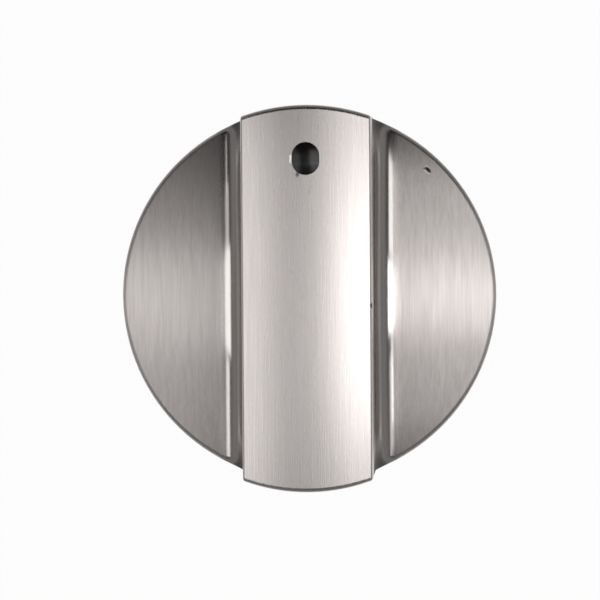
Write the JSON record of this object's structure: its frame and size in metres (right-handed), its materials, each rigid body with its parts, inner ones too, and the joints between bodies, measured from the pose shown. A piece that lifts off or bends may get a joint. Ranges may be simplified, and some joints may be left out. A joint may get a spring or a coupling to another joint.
{
  "type": "oven control knob",
  "caption": "Round metal oven control knob with a full-width grip bar across a domed disc, a black indicator dot and a moulded hub for a D-section spindle in its hollow back.",
  "frame": {"origin": "centre of the rear rim, on the spindle axis", "axes": "+Z along the spindle axis towards the grip bar, +Y towards the indicator dot, +X to the right when the dot is at the top"},
  "size_m": [0.044, 0.044, 0.0253],
  "materials": {
    "satin_metal": "satin plated, brushed along the bar",
    "black_dot": "gloss",
    "black_nylon": "moulded, fine grain",
    "spring_steel": "blued, satin",
    "plated_screw": "bright zinc plate"
  },
  "bodies": {
    "root": {"knob_body": "satin_metal", "indicator_dot": "black_dot", "shaft_hub": "black_nylon", "hub_spring_clip": "spring_steel", "hub_screws": "plated_screw"}
  },
  "joints": []
}
